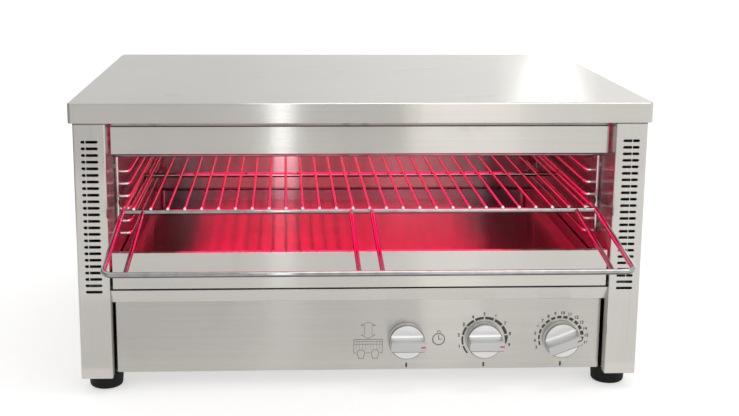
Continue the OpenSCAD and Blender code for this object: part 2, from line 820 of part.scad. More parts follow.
// Round base with a grip bar across it, hollow behind for the bush nut
module knob(i, turn) {
    edge = 2;
    color([0.75, 0.76, 0.77]) at_control(i) rotate(turn) translate([0, 0, knob_gap]) difference() {
        union() {
            rotate_extrude() union() {
                square([knob_d / 2 - edge, knob_base_h]);
                square([knob_d / 2, knob_base_h - edge]);
                translate([knob_d / 2 - edge, knob_base_h - edge]) circle(r = edge);
            }
            intersection() {
                cylinder(h = knob_h, d = knob_d - 2);
                rotate([90, 0, 90]) linear_extrude(knob_d, center = true) {
                    grip_half_2d();
                    mirror([1, 0]) grip_half_2d();
                }
            }
        }
        translate([0, 0, -1]) cylinder(h = nut_h + 4, d = knob_d / 2);
        translate([0, 0, -1]) cylinder(h = knob_h - 4, d = shaft_d + 0.04);
        translate([knob_d / 2 - 8, -0.9, knob_h - 0.5]) cube([8, 1.8, 1]);
    }
}

module shaft(i) {
    color("silver") at_control(i) translate([0, 0, -sheet - 12])
        cylinder(h = sheet + 12 + knob_gap + knob_h - 6, d = shaft_d);
}

// Rear housing of a control with its threaded bush; the shaft turns in the bush
module control_body(i, size) {
    at_control(i) difference() {
        union() {
            translate([0, 0, -sheet - size.z / 2])
                linear_extrude(size.z, center = true) round_rect(size.x, size.y, 3);
            translate([0, 0, -sheet - eps]) cylinder(h = sheet + bush_len + eps, d = bush_d);
        }
        translate([0, 0, -sheet - 13]) cylinder(h = sheet + 14 + bush_len, d = shaft_d + 2 * shaft_clearance);
    }
}

module selector_switch() { color([0.2, 0.2, 0.22]) control_body(0, switch_size); }

module heat_regulator() { color([0.85, 0.82, 0.72]) control_body(1, regulator_size); }

module timer_movement() { color("silver") control_body(2, timer_size); }

module bush_nuts() {
    color("silver") for (i = [0 : 2]) at_control(i) hex_nut(nut_across, nut_h, bush_d + 0.04);
}

// ---- Supply and wiring ----

module terminal_block() {
    color([0.92, 0.92, 0.9]) placed() difference() {
        translate([block_x, block_y, sheet]) union() {
            linear_extrude(10) round_rect(54, 26, 2);
            translate([-24, -7, 0]) cube([48, 14, 20]);
        }
        for (i = [-1 : 1], s = [-1, 1])
            rod_z(block_x + i * 16, block_y + s * 3.5, sheet + 14, sheet + 21, 4.5);
    }
}

module earth_stud() {
    color("gold") placed() translate([block_x - 60, block_y, sheet]) union() {
        cylinder(h = 18, d = 5);
        cylinder(h = 4, d = 9, $fn = 6);
        translate([0, 0, 8]) cylinder(h = 4, d = 9, $fn = 6);
    }
}

// Gland with a domed cap outside and a thread through the back panel
module cable_gland() {
    color([0.12, 0.12, 0.12]) placed() translate([gland_x, back_panel_y + sheet, gland_z]) rotate([-90, 0, 0])
        difference() {
            union() {
                cylinder(h = 5, d = gland_d / cos(30), $fn = 6);
                rotate_extrude() union() {
                    translate([0, 4]) square([gland_d / 2 - 4, gland_out - 4]);
                    translate([0, 4]) square([gland_d / 2 - 1, gland_out - 7]);
                    translate([gland_d / 2 - 4, gland_out - 3]) circle(r = 3);
                }
                translate([0, 0, -12]) cylinder(h = 12 + eps, d = gland_thread_d);
            }
            translate([0, 0, -13]) cylinder(h = gland_out + 14, d = gland_bore_d);
        }
}

module gland_nut() {
    color([0.12, 0.12, 0.12]) placed() translate([gland_x, back_panel_y, gland_z]) rotate([90, 0, 0])
        hex_nut(gland_d, 5, gland_thread_d + 0.04);
}

// Bundled leads from the terminal block past the controls and up both side spaces to the caps
module wiring_loom() {
    last_tube = tube_y0 + (tube_count - 1) * tube_pitch;
    color([0.6, 0.12, 0.1]) placed() union() {
        rod_x(-loom_x, loom_x, loom_y, loom_z, loom_d);
        rod_y(block_x, loom_y, block_y - 13, loom_z - 8, loom_d);
        rod_z(block_x, loom_y, loom_z - 8, loom_z, loom_d);
        translate([block_x, loom_y, loom_z - 8]) sphere(d = loom_d);
        for (i = [0 : 2]) rod_z(knob_xs[i], loom_y, loom_z, knob_z, 4);
        for (i = [0 : 2]) rod_y(knob_xs[i], loom_lead_y[i], loom_y, knob_z, 4);
        for (i = [0 : 2]) translate([knob_xs[i], loom_y, knob_z]) sphere(d = 4);
        both_sides() {
            translate([loom_x, loom_y, loom_z]) sphere(d = loom_d);
            rod_z(loom_x, loom_y, loom_z, tube_z - 16, loom_d);
            translate([loom_x, loom_y, tube_z - 16]) sphere(d = loom_d);
            rod_y(loom_x, tube_y0, last_tube, tube_z - 16, 5);
            for (i = [0 : tube_count - 1]) {
                rod_z(loom_x, tube_y0 + i * tube_pitch, tube_z - 16, tube_z, 3);
                rod_x(inner_x + 18, loom_x, tube_y0 + i * tube_pitch, tube_z, 3);
                translate([loom_x, tube_y0 + i * tube_pitch, tube_z]) sphere(d = 3);
            }
        }
    }
}

// ---- Feet and fixings ----

// Rubber foot with a rounded tread and a deep seat for its screw
module foot(sx, iy) {
    color([0.08, 0.08, 0.08]) placed() translate([sx * foot_x, foot_ys[iy], -foot_h]) difference() {
        rotate_extrude() union() {
            polygon([[0, 0], [foot_d / 2 - 5, 0], [foot_d / 2 - 1, 5], [foot_d / 2, foot_h], [0, foot_h]]);
            translate([foot_d / 2 - 5, 4]) circle(r = 4);
        }
        translate([0, 0, -1]) cylinder(h = foot_h / 2 + 1, d = 12);
        translate([0, 0, -1]) cylinder(h = foot_h + 2, d = foot_screw_d + 0.3);
    }
}

module at_feet() { for (x = [-foot_x, foot_x], y = foot_ys) translate([x, y, 0]) children(); }

module foot_screws() {
    seat = -foot_h / 2;
    color("silver") placed() at_feet() translate([0, 0, seat])
        pan_screw(foot_screw_d, sheet - seat + 7, foot_head_d, foot_head_h);
}

module foot_nuts() {
    color("silver") placed() at_feet() translate([0, 0, sheet]) hex_nut(8, 4, foot_screw_d + 0.04);
}

module back_panel_screws() {
    color("silver") placed() for (x = [-back_screw_x, back_screw_x], z = back_screw_zs)
        translate([x, back_panel_y + sheet, z]) rotate([90, 0, 0])
            pan_screw(screw_d, screw_len, head_d, head_h);
}

module control_panel_screws() {
    color("silver") placed() for (x = panel_screw_xs)
        translate([x, panel_screw_y, 0]) pan_screw(screw_d, screw_len, head_d, head_h);
}

module cover_screws() {
    color("silver") placed() for (x = cover_screw_xs)
        translate([x, top_d / 2, skirt_z + cover_screw_z]) rotate([90, 0, 0])
            pan_screw(screw_d, screw_len, head_d, head_h);
}

top_cover();
side_panel(-1);  // side_panel_left
side_panel(1);  // side_panel_right
base_pan();
back_panel();
front_top_rail();
rear_top_rail();
upper_fascia();
front_mid_rail();
control_panel();
chamber_deck();
chamber_wall(-1);  // chamber_wall_left
chamber_wall(1);  // chamber_wall_right
chamber_back();
chamber_roof();
insulation_blanket();
side_baffles();
quartz_tubes();
heating_coils();
ceramic_caps(-1);  // ceramic_caps_left
ceramic_caps(1);  // ceramic_caps_right
cap_retainers();
element_guard();
ladder_uprights(-1);  // ladder_uprights_left
ladder_uprights(1);  // ladder_uprights_right
ladder_runners(-1);  // ladder_runners_left
ladder_runners(1);  // ladder_runners_right
ladder_clips();
rack_frame();
rack_cross_rods();
rack_wires();
handle_arms();
tray_front();
tray_pan();
tray_runner(-1);  // tray_runner_left
tray_runner(1);  // tray_runner_right
knob(0, 0);  // selector_knob
knob(1, 0);  // heat_knob
knob(2, 21);  // timer_knob
shaft(0);  // selector_shaft
shaft(1);  // heat_shaft
shaft(2);  // timer_shaft
selector_switch();
heat_regulator();
timer_movement();
bush_nuts();
terminal_block();
earth_stud();
cable_gland();
gland_nut();
wiring_loom();
foot(-1, 0);  // foot_front_left
foot(1, 0);  // foot_front_right
foot(-1, 1);  // foot_rear_left
foot(1, 1);  // foot_rear_right
foot_screws();
foot_nuts();
back_panel_screws();
control_panel_screws();
cover_screws();
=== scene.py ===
"""Looks of the bench-top cheese melter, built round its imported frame. Metres, front -Y, up +Z."""
import math

import bmesh
import bpy
from mathutils import Matrix, Vector


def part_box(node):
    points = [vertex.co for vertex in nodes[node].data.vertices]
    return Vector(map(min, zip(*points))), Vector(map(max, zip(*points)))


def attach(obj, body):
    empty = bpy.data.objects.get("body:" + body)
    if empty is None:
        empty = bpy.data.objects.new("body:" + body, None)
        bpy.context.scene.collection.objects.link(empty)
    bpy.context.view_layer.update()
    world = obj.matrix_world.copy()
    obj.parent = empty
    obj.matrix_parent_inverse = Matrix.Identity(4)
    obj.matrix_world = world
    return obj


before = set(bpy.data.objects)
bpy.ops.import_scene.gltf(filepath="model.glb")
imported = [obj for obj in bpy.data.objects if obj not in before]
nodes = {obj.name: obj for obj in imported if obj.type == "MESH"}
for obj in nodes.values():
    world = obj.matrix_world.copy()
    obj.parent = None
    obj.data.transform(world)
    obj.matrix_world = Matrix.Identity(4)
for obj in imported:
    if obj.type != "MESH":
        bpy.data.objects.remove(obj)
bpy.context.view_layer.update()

scene = bpy.context.scene

# ---------------------------------------------------------------- camera
# Solved from the photograph: place, turn to the right, tilt down, roll, focal length and principal point.
# The place is counted from the middle of the cover in depth.
cover_low, cover_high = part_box("top_cover")
CAM_AT = Vector((-0.08675, (cover_low.y + cover_high.y) / 2 - 1.59592, 0.54332))
YAW, PITCH, ROLL = 0.04509, 0.19958, 0.00553
FOCAL_PX, CENTRE_PX, SIZE_PX = 1240.7, (340.0, 165.0), (739, 416)
SENSOR_MM = 36
CLIP_END = 60


def make_camera():
    """Pinhole camera of the photograph, with the photograph's framing."""
    forward = Vector((math.sin(YAW) * math.cos(PITCH), math.cos(YAW) * math.cos(PITCH), -math.sin(PITCH)))
    right = Vector((math.cos(YAW), -math.sin(YAW), 0))
    up = right.cross(forward)
    x_axis = math.cos(ROLL) * right + math.sin(ROLL) * up
    y_axis = -math.sin(ROLL) * right + math.cos(ROLL) * up
    data = bpy.data.cameras.new("photo_camera")
    camera = bpy.data.objects.new("photo_camera", data)
    scene.collection.objects.link(camera)
    turn = Matrix((x_axis, y_axis, -forward)).transposed()
    camera.matrix_world = Matrix.Translation(CAM_AT) @ turn.to_4x4()
    data.sensor_fit = "HORIZONTAL"
    data.sensor_width = SENSOR_MM
    data.lens = FOCAL_PX * SENSOR_MM / SIZE_PX[0]
    data.shift_x = (SIZE_PX[0] / 2 - CENTRE_PX[0]) / SIZE_PX[0]
    data.shift_y = -(SIZE_PX[1] / 2 - CENTRE_PX[1]) / SIZE_PX[0]
    data.clip_end = CLIP_END
    scene.camera = camera


make_camera()
scene.view_settings.view_transform = "Standard"

# ---------------------------------------------------------------- shader nodes
WHITE = (1, 1, 1)
NOISE_ROUGHNESS = 0.55
BEVEL_SAMPLES = 4


class Nodes:
    """Short calls for the few shader nodes used here, in the tree of a material or of the world."""

    def __init__(self, tree):
        self.tree = tree

    def node(self, kind, **values):
        node = self.tree.nodes.new(kind)
        for name, value in values.items():
            setattr(node, name, value)
        return node

    def link(self, a, b):
        self.tree.links.new(a, b)

    def maths(self, operation, a, b=None):
        node = self.node("ShaderNodeMath", operation=operation)
        for socket, value in zip(node.inputs, (a, b)):
            if isinstance(value, (int, float)):
                socket.default_value = value
            elif value is not None:
                self.link(value, socket)
        return node.outputs[0]

    def seen(self):
        """1 where the camera, gloss or glass looks, and 0 where light only falls."""
        ray = self.node("ShaderNodeLightPath")
        mirrored = self.maths("MAXIMUM", ray.outputs["Is Glossy Ray"], ray.outputs["Is Transmission Ray"])
        return self.maths("MAXIMUM", ray.outputs["Is Camera Ray"], mirrored)

    def shine(self, kind, colour, strength):
        """Emission or background of one plain colour."""
        node = self.node(kind)
        node.inputs["Color"].default_value = (*colour, 1)
        node.inputs["Strength"].default_value = strength
        return node.outputs[0]

    def mix_shaders(self, share, a, b):
        node = self.node("ShaderNodeMixShader")
        for socket, output in zip(node.inputs, (share, a, b)):
            self.link(output, socket)
        return node.outputs[0]


class Graph(Nodes):
    """A material, with short calls for what its finish is made of."""

    def __init__(self, name):
        self.material = bpy.data.materials.new(name)
        self.material.use_nodes = True
        super().__init__(self.material.node_tree)
        self.shader = self.tree.nodes["Principled BSDF"]

    def put(self, **values):
        """Sets plain values on the shader's own sockets."""
        for name, value in values.items():
            colour_or_number = (*value, 1) if isinstance(value, tuple) else value
            self.shader.inputs[name.replace("_", " ")].default_value = colour_or_number
        return self

    def feed(self, **outputs):
        """Links node outputs to the shader's own sockets."""
        for name, output in outputs.items():
            self.link(output, self.shader.inputs[name.replace("_", " ")])

    def place(self, scale=(1, 1, 1)):
        """The piece's own coordinates in metres, scaled."""
        coordinates = self.node("ShaderNodeTexCoord")
        mapping = self.node("ShaderNodeMapping")
        mapping.inputs["Scale"].default_value = scale
        self.link(coordinates.outputs["Object"], mapping.inputs["Vector"])
        return mapping.outputs["Vector"]

    def own_axes(self):
        """The piece's own coordinates in metres, one output for each axis."""
        split = self.node("ShaderNodeSeparateXYZ")
        self.link(self.place(), split.inputs["Vector"])
        return split.outputs

    def facing_axes(self):
        """The direction the surface faces, one output for each axis."""
        face = self.node("ShaderNodeNewGeometry")
        split = self.node("ShaderNodeSeparateXYZ")
        self.link(face.outputs["Normal"], split.inputs["Vector"])
        return split.outputs

    def noise(self, place, scale=1.0, detail=3.0, distortion=0.0):
        noise = self.node("ShaderNodeTexNoise")
        noise.inputs["Scale"].default_value = scale
        noise.inputs["Detail"].default_value = detail
        noise.inputs["Roughness"].default_value = NOISE_ROUGHNESS
        noise.inputs["Distortion"].default_value = distortion
        self.link(place, noise.inputs["Vector"])
        return noise.outputs["Fac"]

    def waves(self, axis, scale):
        """Soft bands that follow one another along an axis."""
        wave = self.node("ShaderNodeTexWave", wave_type="BANDS", bands_direction=axis, wave_profile="SIN")
        wave.inputs["Scale"].default_value = scale
        self.link(self.place(), wave.inputs["Vector"])
        return wave.outputs["Fac"]

    def spread(self, value, low, high, out_low, out_high, smooth=False):
        """Maps low to out_low and high to out_high, and stays there beyond them."""
        node = self.node("ShaderNodeMapRange")
        if smooth:
            node.interpolation_type = "SMOOTHSTEP"
        ends = {"From Min": low, "From Max": high, "To Min": out_low, "To Max": out_high}
        for name, number in ends.items():
            node.inputs[name].default_value = number
        self.link(value, node.inputs["Value"])
        return node.outputs["Result"]

    def blend(self, share, a, b):
        """A share of a, and the rest of b."""
        return self.maths("ADD", self.maths("MULTIPLY", a, share), self.maths("MULTIPLY", b, 1 - share))

    def mix(self, share, a, b):
        """Colour that runs from a to b."""
        node = self.node("ShaderNodeMix", data_type="RGBA")
        colours = [s for s in node.inputs if s.type == "RGBA"]
        for socket, value in zip(colours, (a, b)):
            if isinstance(value, tuple):
                socket.default_value = (*value, 1)
            else:
                self.link(value, socket)
        factor = [s for s in node.inputs if s.name == "Factor" and s.type == "VALUE"][0]
        self.link(share, factor)
        return [s for s in node.outputs if s.type == "RGBA"][0]

    def smear(self, grain_axis):
        """Stretches what the surface reflects, square to the grain of its brushing."""
        face = self.node("ShaderNodeNewGeometry")
        across = self.node("ShaderNodeVectorMath", operation="CROSS_PRODUCT")
        across.inputs[0].default_value = grain_axis
        self.link(face.outputs["Normal"], across.inputs[1])
        never_zero = self.node("ShaderNodeVectorMath", operation="ADD")
        never_zero.inputs[1].default_value = (0, 0.01, 0)
        self.link(across.outputs[0], never_zero.inputs[0])
        self.feed(Tangent=never_zero.outputs[0])
        self.put(Anisotropic=1.0)

    def relief(self, height, distance, strength, edge=0.0):
        """Bump from a height, over edges rounded by the radius edge."""
        bump = self.node("ShaderNodeBump")
        bump.inputs["Strength"].default_value = strength
        bump.inputs["Distance"].default_value = distance
        self.link(height, bump.inputs["Height"])
        if edge:
            bevel = self.node("ShaderNodeBevel", samples=BEVEL_SAMPLES)
            bevel.inputs["Radius"].default_value = edge
            self.link(bevel.outputs["Normal"], bump.inputs["Normal"])
        self.feed(Normal=bump.outputs["Normal"])


# ---------------------------------------------------------------- finishes
ALONG_X, ALONG_Z = (1, 0, 0), (0, 0, 1)
SHEET_EDGE = 0.0007                       # radius of a sheet's folded and cut edges
SHEET_TONE = (0.36, 0.64)                 # part of a noise's range in which sheet runs from dark to light
CLOUD_TONE = (0.35, 0.65)                 # the same for plate, moulded parts, knobs and wear
HAZE_TONE = (0.35, 0.7)                   # part of the haze over which a liner goes from smooth to rough
SEAM_SHADE_AND_GRIME = (0.05, 0.045, 0.04)
SEAM_FROM, SEAM_TO = 0.0024, 0.0008       # how far under a seam its painted shade and grime start and are full
# colour of the painted dark reflection on a rod's under or upper side
PAINTED_DARK_REFLECTION = (0.03, 0.025, 0.025)
LOOKS_DOWN, LOOKS_UP = (-0.60, 0.0), (0.15, 0.60)   # upward part of the facing over which a rod's painted dark reflection fades in, on its under or upper side
# painted light: bright colour of rod ends near the front, as if lit from the front and not by the glow
PAINTED_LIT_TIP, TIP_FADE = (0.86, 0.84, 0.82), 0.002
ROUNDED_FROM, ROUNDED_TO = -0.93, -0.12   # how a knob's rounded edges with painted shade face, from forward to sideways
GRIP_EDGE, BASE_EDGE = 0.0001, 0.0161     # past silvered's front: the grip's edge ends, the base's starts
MICRO_GRAIN, MICRO_RELIEF = 900.0, 0.00003
GLOW = (1.0, 0.004, 0.105)
GLOW_CORE, GLOW_END = 0.205, 0.245
ROOF_GLOW, TUBE_GLOW = 3.6, 7.6
COIL_GLOW = TUBE_GLOW * 1.5


def streak(axis, along, across):
    """Scale of a noise that is drawn out along an axis."""
    return tuple(along if part else across for part in axis)


def brushed(name, dark, light, smooth, rough, grain_axis=ALONG_X, seam=None):
    """Brushed stainless sheet: fine grain along one axis, faint smudges and hand prints, and soft folded
    edges. Just under the height seam, painted shade with some grime darkens the joint with the sheet above."""
    g = Graph(name).put(Metallic=1.0, Specular_Tint=(0.90, 0.90, 0.90))
    g.smear(grain_axis)
    grain = g.noise(g.place(streak(grain_axis, 5.0, 900.0)), detail=2.0)
    band = g.noise(g.place(streak(grain_axis, 2.0, 260.0)))
    smudge = g.noise(g.place(), scale=5.5, detail=4.0, distortion=0.6)
    colour = g.mix(g.spread(g.blend(0.35, band, smudge), *SHEET_TONE, 0, 1), dark, light)
    if seam is not None:
        # painted shade, with some grime, just under the seam of the sheet above
        seam_shade_and_grime = g.spread(g.own_axes()["Z"], seam - SEAM_FROM, seam - SEAM_TO, 0, 0.9)
        colour = g.mix(seam_shade_and_grime, colour, SEAM_SHADE_AND_GRIME)
    wear = g.blend(0.6, grain, smudge)
    handled = g.noise(g.place((11, 11, 5)), distortion=1.2)
    prints = g.spread(handled, 0.60, 0.70, 0.0, 0.06, smooth=True)
    g.feed(Base_Color=colour, Roughness=g.maths("ADD", g.spread(wear, *CLOUD_TONE, smooth, rough), prints))
    g.relief(grain, 0.00002, 0.5, SHEET_EDGE)
    return g.material


def polished(name, dark, light, smooth, rough, wave=0.0006):
    """Bright annealed liner sheet: nearly a mirror, slightly wavy, with heat haze and drips."""
    g = Graph(name).put(Metallic=1.0, Specular_Tint=(0.85, 0.85, 0.85))
    g.smear(ALONG_X)
    haze = g.noise(g.place(), scale=7.0, detail=5.0, distortion=0.8)
    drip = g.noise(g.place((60, 60, 4)))
    tone = g.blend(0.6, haze, drip)
    g.feed(Base_Color=g.mix(g.spread(tone, *SHEET_TONE, 0, 1), dark, light),
           Roughness=g.spread(tone, *HAZE_TONE, smooth, rough))
    g.relief(haze, wave, 0.35, SHEET_EDGE)
    return g.material


def plated(name, dark, light, smooth, rough, under=0.0, over=0.0, tip=None):
    """Bright plate on wire and fasteners, with a little bloom; its under or upper side can get a painted dark
    reflection, and its ends before the depth tip are painted bright, as if lit from the front."""
    g = Graph(name).put(Metallic=1.0)
    bloom = g.noise(g.place(), scale=90.0, detail=4.0)
    tone = g.mix(g.spread(bloom, *CLOUD_TONE, 0, 1), dark, light)
    # painted dark reflection, set by how far the surface faces down or up
    if under or over:
        ends = (*LOOKS_DOWN, under, 0.0) if under else (*LOOKS_UP, 0.0, over)
        tone = g.mix(g.spread(g.facing_axes()["Z"], *ends), tone, PAINTED_DARK_REFLECTION)
    # painted light on the ends before the depth tip
    if tip is not None:
        tone = g.mix(g.spread(g.own_axes()["Y"], tip, tip + TIP_FADE, 1.0, 0.0), tone, PAINTED_LIT_TIP)
    g.feed(Base_Color=tone, Roughness=g.spread(bloom, *CLOUD_TONE, smooth, rough))
    g.relief(bloom, 0.00004, 0.4)
    return g.material


def moulded(name, dark, light, smooth, rough, grain=MICRO_GRAIN, edge=0.0005, **sockets):
    """Moulded plastic, rubber or ceramic, or print, with a fine grain."""
    g = Graph(name).put(**sockets)
    fine = g.noise(g.place(), scale=grain, detail=2.0)
    cloud = g.noise(g.place(), scale=30.0)
    g.feed(Base_Color=g.mix(g.spread(cloud, *CLOUD_TONE, 0, 1), dark, light),
           Roughness=g.spread(cloud, *CLOUD_TONE, smooth, rough))
    g.relief(fine, MICRO_RELIEF, 0.6, edge)
    return g.material


def silvered(name, front, deep, painted_shade_front, painted_light_deep, painted_shade_edges):
    """Satin silver lacquer on the knobs, with painted light and shade: darker on the face of the grip and
    lighter deeper in, and painted dark on the rounded edges of the grip and the base."""
    g = Graph(name).put(Metallic=0.6)
    inward = g.own_axes()["Y"]
    cloud = g.noise(g.place(), scale=60.0)
    # painted light and shade: the grip's face darker, the parts deeper in lighter
    share = g.maths("ADD", g.spread(inward, front, front + deep, 0.0, 0.9), g.maths("MULTIPLY", cloud, 0.1))
    facing = g.facing_axes()["Y"]
    # painted shade on the rounded edges of the grip and the base
    rounded = g.maths("MULTIPLY", g.maths("GREATER_THAN", facing, ROUNDED_FROM),
                      g.maths("LESS_THAN", facing, ROUNDED_TO))
    ends = g.maths("MAXIMUM", g.maths("LESS_THAN", inward, front + GRIP_EDGE),
                   g.maths("GREATER_THAN", inward, front + BASE_EDGE))
    g.feed(Base_Color=g.mix(g.maths("MULTIPLY", rounded, ends), g.mix(share, painted_shade_front, painted_light_deep), painted_shade_edges),
           Roughness=g.spread(cloud, *CLOUD_TONE, 0.30, 0.36))
    g.relief(g.noise(g.place(), scale=MICRO_GRAIN, detail=2.0), MICRO_RELIEF, 0.6)
    return g.material


def fibre(name, dark, light):
    """Matted ceramic wool."""
    g = Graph(name).put(Roughness=0.95)
    tuft = g.noise(g.place(), scale=240.0, detail=6.0)
    g.feed(Base_Color=g.mix(g.spread(tuft, 0.3, 0.7, 0, 1), dark, light))
    g.relief(tuft, 0.0012, 0.8)
    return g.material


def glow(g, strength):
    """Emission of the heated length, which ends a little before the side walls."""
    from_middle = g.maths("ABSOLUTE", g.own_axes()["X"])
    return g.spread(from_middle, GLOW_CORE, GLOW_END, strength, 0.0, smooth=True)


def glowing_tube(name, strength):
    """Satin quartz with the glowing winding showing through as close rings."""
    g = Graph(name).put(Base_Color=(0.55, 0.12, 0.12), Roughness=0.25, Emission_Color=GLOW)
    winding = g.waves("X", 90.0)
    ring = g.spread(winding, 0, 1, 0.5, 1.0)
    g.feed(Emission_Strength=g.maths("MULTIPLY", ring, glow(g, strength)))
    g.relief(winding, 0.0002, 0.3)
    return g.material


def glowing_roof(name, dark, light, strength):
    """Reflector over the elements: steel whose underside emits a painted glow in rows, standing in for their
    light reflected.
    """
    g = Graph(name).put(Metallic=1.0, Emission_Color=GLOW)
    haze = g.noise(g.place(), scale=7.0, detail=5.0, distortion=0.8)
    g.feed(Base_Color=g.mix(g.spread(haze, *SHEET_TONE, 0, 1), dark, light),
           Roughness=g.spread(haze, *HAZE_TONE, 0.12, 0.3))
    # painted glow on the underside only, brighter in rows as painted reflections of the tubes
    underside = g.maths("LESS_THAN", g.facing_axes()["Z"], -0.5)
    row = g.spread(g.waves("Y", 3.4), 0, 1, 0.75, 1.1)
    g.feed(Emission_Strength=g.maths("MULTIPLY", g.maths("MULTIPLY", glow(g, strength), underside), row))
    return g.material


def lit_edge(name, dark, light, strength):
    """Steel behind the vent slots: its forward faces emit a painted light, standing in for the daylight that
    comes in through them.
    """
    g = Graph(name).put(Metallic=0.6, Roughness=0.4, Emission_Color=(1.0, 0.97, 0.93))
    g.feed(Base_Color=g.mix(g.noise(g.place(), scale=40.0), dark, light))
    # painted light on the faces that look forward
    ahead = g.maths("LESS_THAN", g.facing_axes()["Y"], -0.7)
    g.feed(Emission_Strength=g.maths("MULTIPLY", ahead, strength))
    return g.material


def depth(node, inward):
    """Place of a node's front end in its own coordinates, moved inward."""
    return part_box(node)[0].y - nodes[node].matrix_world.translation.y + inward


# Each pair is a finish's dark and light colour, or its smoothest and roughest place
STEEL, SHEET_GLOSS = ((0.535, 0.515, 0.480), (0.580, 0.560, 0.525)), (0.17, 0.21)
# darker, red-tinted copy of the chrome for the wires in the chamber: painted glow and shade
GLOW_TINTED_STEEL, GLOW_TINTED_GLOSS = ((0.26, 0.18, 0.21), (0.34, 0.23, 0.27)), (0.10, 0.18)
PLASTIC_GLOSS, INK_GLOSS = (0.35, 0.5), (0.45, 0.6)

mats = {
    "sheet_x": brushed("brushed_steel_x", *STEEL, *SHEET_GLOSS),
    # the control panel's steel is a darker copy of the front steel: painted shade
    "panel": brushed("shaded_panel_steel", (0.465, 0.448, 0.418), (0.515, 0.498, 0.466), *SHEET_GLOSS),
    "sheet_z": brushed("brushed_steel_z", *STEEL, *SHEET_GLOSS, grain_axis=ALONG_Z, seam=cover_low.z),
    "inside": brushed("inside_steel", (0.42, 0.41, 0.39), (0.52, 0.51, 0.49), 0.30, 0.42),
    "baffle": lit_edge("baffle_steel", (0.60, 0.58, 0.55), (0.70, 0.68, 0.65), 0.5),
    # the red tones of the liner and the pan are painted glow from the elements
    "liner": polished("polished_liner", (0.57, 0.33, 0.35), (0.68, 0.41, 0.43), 0.145, 0.175),
    "pan": polished("glow_tinted_pan", (0.36, 0.26, 0.29), (0.43, 0.32, 0.35), 0.150, 0.170, wave=0.0002),
    "side_wall": polished("polished_side_wall", (0.37, 0.375, 0.37), (0.46, 0.47, 0.465), 0.22, 0.28),
    # painted dark reflection under the wire and the bar and on top of the arms; the bar is a darker copy of
    # the chrome, painted shade, and the arms' red is painted glow
    "wire": plated("chromed_wire", (0.56, 0.55, 0.54), (0.66, 0.65, 0.64), 0.08, 0.14, under=0.85),
    "bar": plated("shaded_chromed_bar", (0.34, 0.335, 0.33), (0.42, 0.415, 0.41), 0.05, 0.10, under=0.85),
    "hot": plated("glow_tinted_wire", *GLOW_TINTED_STEEL, *GLOW_TINTED_GLOSS),
    "runner": plated("runner_wire", *GLOW_TINTED_STEEL, *GLOW_TINTED_GLOSS, tip=depth("ladder_runners_left", 0.0065)),
    "grid": plated("rack_wire", *GLOW_TINTED_STEEL, *GLOW_TINTED_GLOSS, tip=depth("rack_wires", 0.0035)),
    "arm": plated("glow_tinted_arm", (0.30, 0.25, 0.28), (0.40, 0.34, 0.37), 0.05, 0.10, over=0.45),
    "zinc": plated("zinc_plate", (0.56, 0.55, 0.52), (0.68, 0.67, 0.64), 0.22, 0.38),
    "brass": plated("brass", (0.62, 0.44, 0.18), (0.76, 0.56, 0.26), 0.2, 0.34),
    "knob": silvered("knob_silver", depth("heat_knob", 0.002), 0.014, painted_shade_front=(0.52, 0.52, 0.51),
                     painted_light_deep=(0.78, 0.78, 0.77), painted_shade_edges=(0.29, 0.29, 0.285)),
    "rubber": moulded("black_rubber", (0.006, 0.006, 0.006), (0.012, 0.012, 0.011), 0.6, 0.8, edge=0.001,
                      Specular_IOR_Level=0.2),
    "black": moulded("black_plastic", (0.02, 0.02, 0.02), (0.04, 0.04, 0.04), *PLASTIC_GLOSS),
    "cream": moulded("cream_plastic", (0.60, 0.54, 0.40), (0.70, 0.64, 0.50), *PLASTIC_GLOSS),
    "white": moulded("white_plastic", (0.70, 0.70, 0.67), (0.80, 0.80, 0.77), 0.3, 0.45),
    "sleeve": moulded("silicone_sleeve", (0.20, 0.02, 0.015), (0.30, 0.04, 0.03), 0.45, 0.6),
    "ceramic": moulded("white_ceramic", (0.70, 0.67, 0.60), (0.82, 0.80, 0.74), 0.4, 0.6, grain=500.0),
    "ink": moulded("dark_ink", (0.035, 0.030, 0.026), (0.060, 0.050, 0.045), *INK_GLOSS, edge=0.0),
    "faint": moulded("faded_ink", (0.13, 0.125, 0.115), (0.18, 0.17, 0.16), *INK_GLOSS, edge=0.0),
    "red": moulded("red_ink", (0.55, 0.02, 0.04), (0.68, 0.04, 0.07), *PLASTIC_GLOSS, edge=0.0),
    "fibre": fibre("ceramic_fibre", (0.62, 0.60, 0.54), (0.84, 0.83, 0.78)),
    "tube": glowing_tube("glowing_quartz", TUBE_GLOW),
    "coil": glowing_tube("glowing_coil", COIL_GLOW),
    "roof": glowing_roof("glowing_reflector", (0.44, 0.36, 0.35), (0.56, 0.47, 0.46), ROOF_GLOW),
}

